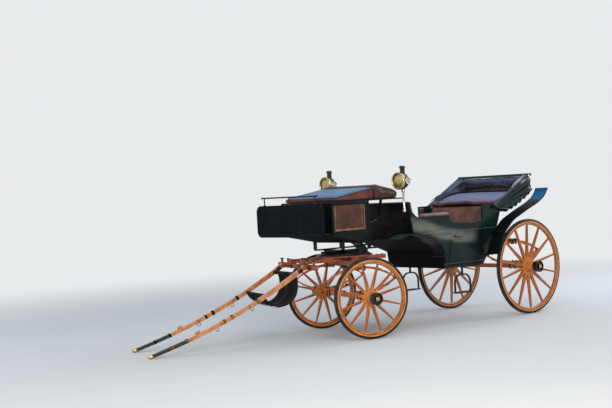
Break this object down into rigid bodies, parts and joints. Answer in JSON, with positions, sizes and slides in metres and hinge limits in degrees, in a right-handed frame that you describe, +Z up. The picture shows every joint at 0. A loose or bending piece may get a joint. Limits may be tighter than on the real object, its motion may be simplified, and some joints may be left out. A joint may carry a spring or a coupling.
{
  "type": "open landau carriage",
  "caption": "Four-wheeled open horse-drawn carriage with a driver's box, folded rear hood, side doors, steering fore-carriage and hinged shafts.",
  "frame": {"origin": "middle of the floor area that the carriage covers at rest, on the ground", "axes": "+X forward towards the shafts' tips, +Y to the carriage's left, +Z up"},
  "size_m": [5.1553, 1.7432, 1.78],
  "materials": {
    "tyre": "worn matt rubber",
    "wheel_timber": "varnished orange wood with dark lines",
    "hub_black": "gloss black with a brass nut",
    "body_lacquer": "very dark green gloss lacquer",
    "black_iron": "painted black iron",
    "brown_leather": "buttoned and fluted brown leather",
    "black_leather": "dark green-black folded leather",
    "brass": "polished brass",
    "gear_timber": "varnished red-brown wood and springs",
    "spring_steel": "painted red-brown steel",
    "seat_timber": "dark stained boards"
  },
  "bodies": {
    "coach": {"body_side_left": "body_lacquer", "body_side_right": "body_lacquer", "body_back": "body_lacquer", "body_floor": "body_lacquer", "body_front": "body_lacquer", "seat_boards": "seat_timber", "rear_seat_cushion": "brown_leather", "rear_seat_back": "brown_leather", "front_seat_cushion": "brown_leather", "front_seat_back": "brown_leather", "side_rolls": "brown_leather", "hood_cover": "black_leather", "hood_bow": "black_leather", "rear_fenders": "black_leather", "front_fenders": "black_leather", "driver_box": "body_lacquer", "box_panels": "brown_leather", "dashboard": "black_leather", "rein_rail": "brass", "driver_cushion": "brown_leather", "driver_bolster": "brown_leather", "seat_irons": "black_iron", "lamps": "brass", "door_steps": "black_iron", "rear_irons": "black_iron", "front_irons": "black_iron", "upper_turntable": "black_iron", "rear_axle": "gear_timber", "rear_springs": "spring_steel"},
    "door_left": {"door_left": "body_lacquer", "door_handle_left": "brass"},
    "door_right": {"door_right": "body_lacquer", "door_handle_right": "brass"},
    "fore_carriage": {"front_axle": "gear_timber", "front_springs": "spring_steel", "fore_bed": "gear_timber", "futchells": "gear_timber", "splinter_bar": "gear_timber"},
    "shafts": {"shafts": "gear_timber", "sling": "black_leather"},
    "wheel_rear_left": {"wheel_rear_left": "wheel_timber", "tyre_rear_left": "tyre", "hub_cap_rear_left": "hub_black"},
    "wheel_rear_right": {"wheel_rear_right": "wheel_timber", "tyre_rear_right": "tyre", "hub_cap_rear_right": "hub_black"},
    "wheel_front_left": {"wheel_front_left": "wheel_timber", "tyre_front_left": "tyre", "hub_cap_front_left": "hub_black"},
    "wheel_front_right": {"wheel_front_right": "wheel_timber", "tyre_front_right": "tyre", "hub_cap_front_right": "hub_black"}
  },
  "joints": [
    {"name": "steering", "type": "hinge", "parent": "coach", "child": "fore_carriage", "pos_m": [0.267, 0.065, 0.8575], "axis": [0, 0, 1], "range_deg": [-59.2, 90.8]},
    {"name": "shaft_lift", "type": "hinge", "parent": "fore_carriage", "child": "shafts", "pos_m": [0.84433, -0.09837, 0.7735], "axis": [-0.2723, -0.9622, 0], "range_deg": [0, 75]},
    {"name": "door_left_hinge", "type": "hinge", "parent": "coach", "child": "door_left", "pos_m": [-1.40551, 0.5928, 0.78], "axis": [0, 0, 1], "range_deg": [0, 90]},
    {"name": "wheel_rear_left_spin", "type": "hinge", "parent": "coach", "child": "wheel_rear_left", "pos_m": [-2.028, 0.701, 0.55], "axis": [0, 1, 0], "continuous": true},
    {"name": "wheel_front_left_spin", "type": "hinge", "parent": "fore_carriage", "child": "wheel_front_left", "pos_m": [0.43745, 0.66735, 0.4235], "axis": [0.2723, 0.9622, 0], "continuous": true},
    {"name": "door_right_hinge", "type": "hinge", "parent": "coach", "child": "door_right", "pos_m": [-1.40551, -0.4628, 0.78], "axis": [0, 0, -1], "range_deg": [0, 90]},
    {"name": "wheel_rear_right_spin", "type": "hinge", "parent": "coach", "child": "wheel_rear_right", "pos_m": [-2.028, -0.571, 0.55], "axis": [0, 1, 0], "continuous": true},
    {"name": "wheel_front_right_spin", "type": "hinge", "parent": "fore_carriage", "child": "wheel_front_right", "pos_m": [0.09655, -0.53735, 0.4235], "axis": [0.2723, 0.9622, 0], "continuous": true}
  ]
}
